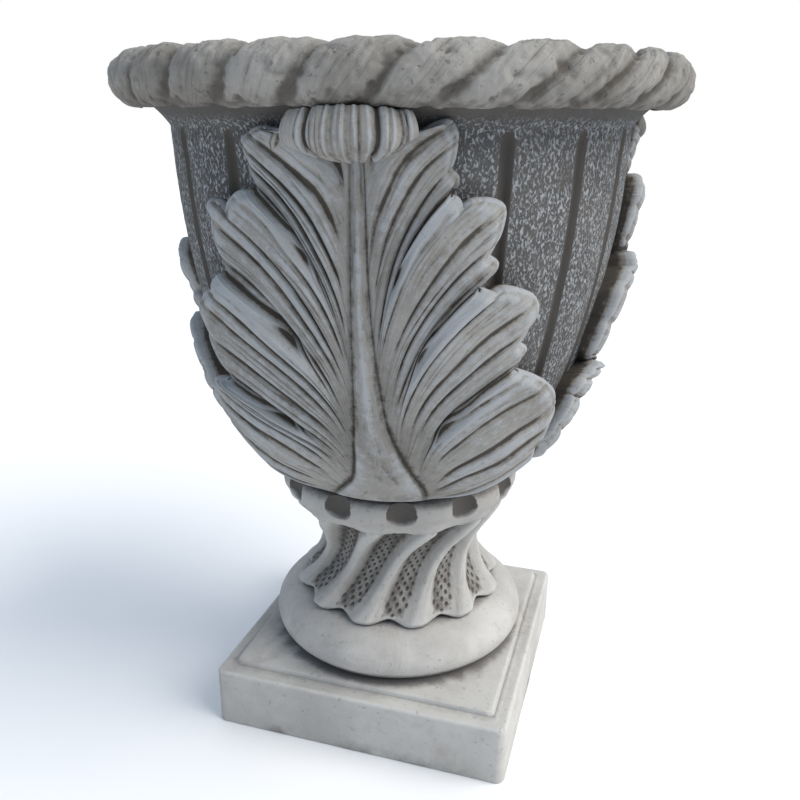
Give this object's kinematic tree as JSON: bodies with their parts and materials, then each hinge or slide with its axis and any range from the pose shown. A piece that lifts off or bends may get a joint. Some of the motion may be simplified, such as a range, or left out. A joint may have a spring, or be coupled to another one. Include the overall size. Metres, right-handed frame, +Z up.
{
  "type": "pedestal urn flower pot",
  "caption": "Cast-stone garden urn: a round bowl with a rope rim, fluted bands and acanthus leaves, on a twisted drapery stem, a round foot cushion and a square plinth.",
  "frame": {"origin": "centre of the plinth's underside, on the axis of the urn", "axes": "+Z up the urn's axis, X and Y square to the plinth's sides; the front leaf faces -Y, turned a little towards +X"},
  "size_m": [0.5467, 0.5466, 0.6976],
  "materials": {
    "pedestal_stone": "smooth cast stone, pale warm grey",
    "stem_stone": "smooth cast stone, grey with darker recesses",
    "bowl_stone": "stippled cast stone, dark grey wash with pale high spots",
    "rope_stone": "weathered cast stone, grey beige",
    "leaf_stone": "carved cast stone, grey with a brown wash in the veins",
    "mortar": "matt cement mortar",
    "steel": "galvanised"
  },
  "bodies": {
    "pedestal": {"plinth": "pedestal_stone", "foot_bed": "mortar", "foot_cushion": "pedestal_stone", "stem_bed": "mortar", "drape_stem": "stem_stone", "centre_pipe": "steel"},
    "bowl_body": {"bowl": "bowl_stone", "rim_bed": "mortar", "rope_rim": "rope_stone", "rim_hoop": "steel", "tip_dowels": "steel", "leaf_dowels": "steel", "leaf_front": "leaf_stone", "leaf_tip_front": "leaf_stone", "leaf_right": "leaf_stone", "leaf_tip_right": "leaf_stone", "leaf_left": "leaf_stone", "leaf_tip_left": "leaf_stone"}
  },
  "joints": [
    {"name": "bowl_lift", "type": "slide", "parent": "pedestal", "child": "bowl_body", "axis": [0, 0, 1], "range_m": [0, 0.024]}
  ]
}
